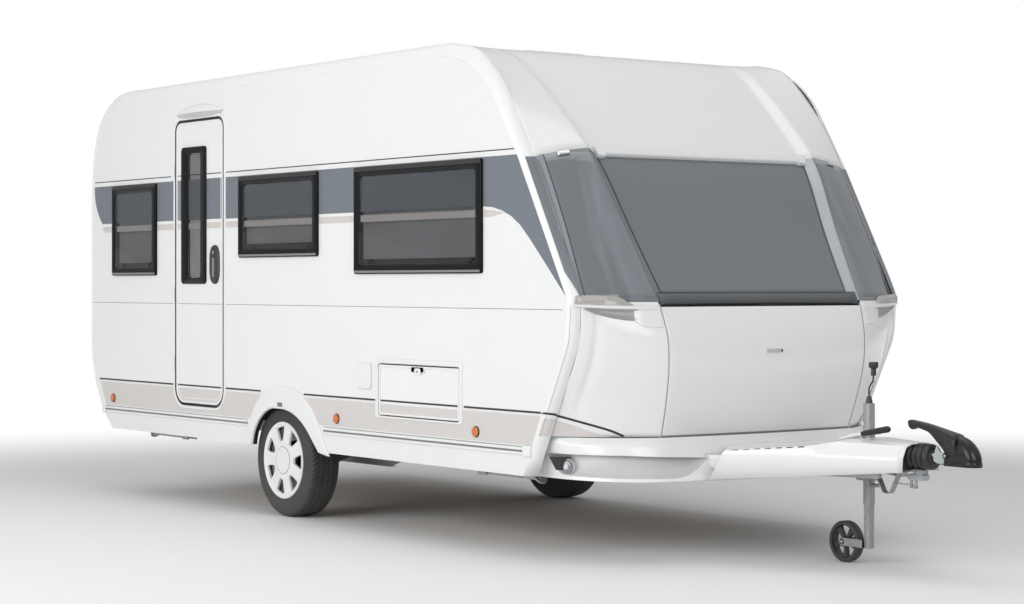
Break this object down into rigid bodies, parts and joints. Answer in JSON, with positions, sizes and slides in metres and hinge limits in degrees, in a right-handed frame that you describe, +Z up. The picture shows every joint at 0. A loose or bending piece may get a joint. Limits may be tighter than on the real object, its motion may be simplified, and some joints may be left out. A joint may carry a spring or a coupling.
{
  "type": "single-axle travel caravan",
  "caption": "Travel caravan with a hollow sandwich-panel body, entrance door, gas locker lid, road wheels, folding steadies, jockey wheel and ball coupling.",
  "frame": {"origin": "on the ground under the middle of the whole length, in the middle plane", "axes": "+X towards the coupling, +Y towards the far side from the entrance door, +Z up"},
  "size_m": [6.888, 2.252, 2.654],
  "materials": {
    "white_panel": "smooth satin sheet with a fine hammered grain",
    "white_rail": "satin",
    "white_moulding": "gloss",
    "white_plastic": "satin",
    "roof_plastic": "satin",
    "tinted_acrylic": "polished dark acrylic",
    "amber_lens": "moulded lens",
    "red_lens": "moulded lens",
    "clear_lens": "moulded lens",
    "floor_board": "sealed plywood",
    "black_plastic": "grained",
    "galvanised_steel": "hot-dip galvanised",
    "black_steel": "satin black",
    "wheel_steel": "silver paint",
    "tyre_rubber": "matt",
    "bellows_rubber": "matt"
  },
  "bodies": {
    "caravan": {"side_wall_right": "white_panel", "side_wall_left": "white_panel", "roof_panel": "white_panel", "rear_wall": "white_panel", "corner_rails": "white_rail", "side_windows": "tinted_acrylic", "rear_window": "tinted_acrylic", "roof_lights": "roof_plastic", "front_hood": "white_moulding", "front_pillars": "tinted_acrylic", "front_window": "tinted_acrylic", "front_cheeks": "white_moulding", "locker_box": "floor_board", "front_apron": "white_moulding", "drawbar_cover": "white_moulding", "arch_trims": "white_moulding", "skirt_rails": "white_rail", "front_rail": "white_rail", "front_wings": "white_moulding", "marker_lamps": "amber_lens", "rear_lamps": "red_lens", "awning_light": "clear_lens", "floor_panel": "floor_board", "wheel_houses": "black_plastic", "chassis_rails": "galvanised_steel", "chassis_cross_members": "galvanised_steel", "front_lamps": "clear_lens", "drawbar": "galvanised_steel", "axle_tube": "galvanised_steel", "swing_arms": "black_steel", "overrun_housing": "black_steel", "bellows": "bellows_rubber", "coupling_head": "black_steel", "coupling_handle": "black_plastic", "handbrake_lever": "black_plastic", "jockey_column": "galvanised_steel", "jockey_crank": "galvanised_steel", "fridge_vents": "white_plastic", "flap_frames": "white_plastic"},
    "locker_lid": {"locker_lid": "white_moulding"},
    "wheel_right": {"tyre_right": "tyre_rubber", "rim_right": "wheel_steel", "hub_cap_right": "white_plastic"},
    "wheel_left": {"tyre_left": "tyre_rubber", "rim_left": "wheel_steel", "hub_cap_left": "white_plastic"},
    "steady_rear_right": {"steady_rear_right": "galvanised_steel"},
    "steady_rear_left": {"steady_rear_left": "galvanised_steel"},
    "steady_front_right": {"steady_front_right": "galvanised_steel"},
    "steady_front_left": {"steady_front_left": "galvanised_steel"},
    "jockey_tube": {"jockey_tube": "galvanised_steel"},
    "jockey_fork": {"jockey_fork": "galvanised_steel"},
    "jockey_wheel": {"jockey_wheel": "black_plastic"},
    "entrance_door": {"entrance_door": "white_panel", "door_window": "tinted_acrylic", "door_handle": "black_plastic"},
    "service_flap": {"service_flap": "white_moulding"},
    "toilet_flap": {"toilet_flap": "white_moulding"}
  },
  "joints": [
    {"name": "wheel_right_spin", "type": "hinge", "parent": "caravan", "child": "wheel_right", "pos_m": [-0.936, -0.962, 0.327], "axis": [0, 1, 0], "continuous": true},
    {"name": "wheel_left_spin", "type": "hinge", "parent": "caravan", "child": "wheel_left", "pos_m": [-0.936, 0.962, 0.327], "axis": [0, 1, 0], "continuous": true},
    {"name": "entrance_door_hinge", "type": "hinge", "parent": "caravan", "child": "entrance_door", "pos_m": [-2.186, -1.11, 1.476], "axis": [0, 0, -1], "range_deg": [0, 165]},
    {"name": "locker_lid_hinge", "type": "hinge", "parent": "caravan", "child": "locker_lid", "pos_m": [2.002, 0, 1.242], "axis": [0, -1, 0], "range_deg": [0, 80]},
    {"name": "service_flap_hinge", "type": "hinge", "parent": "caravan", "child": "service_flap", "pos_m": [0.536, -1.106, 0.639], "axis": [1, 0, 0], "range_deg": [0, 100]},
    {"name": "toilet_flap_hinge", "type": "hinge", "parent": "caravan", "child": "toilet_flap", "pos_m": [-2.466, 1.106, 0.639], "axis": [-1, 0, 0], "range_deg": [0, 100]},
    {"name": "steady_rear_right_hinge", "type": "hinge", "parent": "caravan", "child": "steady_rear_right", "pos_m": [-2.476, -0.85, 0.375], "axis": [0, -1, 0], "range_deg": [0, 45]},
    {"name": "steady_rear_left_hinge", "type": "hinge", "parent": "caravan", "child": "steady_rear_left", "pos_m": [-2.476, 0.85, 0.375], "axis": [0, -1, 0], "range_deg": [0, 45]},
    {"name": "steady_front_right_hinge", "type": "hinge", "parent": "caravan", "child": "steady_front_right", "pos_m": [0.804, -0.85, 0.375], "axis": [0, 1, 0], "range_deg": [0, 45]},
    {"name": "steady_front_left_hinge", "type": "hinge", "parent": "caravan", "child": "steady_front_left", "pos_m": [0.804, 0.85, 0.375], "axis": [0, 1, 0], "range_deg": [0, 45]},
    {"name": "jockey_tube_slide", "type": "slide", "parent": "caravan", "child": "jockey_tube", "axis": [0, 0, 1], "range_m": [-0.12, 0.055]},
    {"name": "jockey_swivel", "type": "hinge", "parent": "jockey_tube", "child": "jockey_fork", "pos_m": [2.648, 0.085, 0.222], "axis": [0, 0, 1], "continuous": true},
    {"name": "jockey_wheel_spin", "type": "hinge", "parent": "jockey_fork", "child": "jockey_wheel", "pos_m": [2.488, 0.085, 0.1], "axis": [0, 1, 0], "continuous": true}
  ]
}
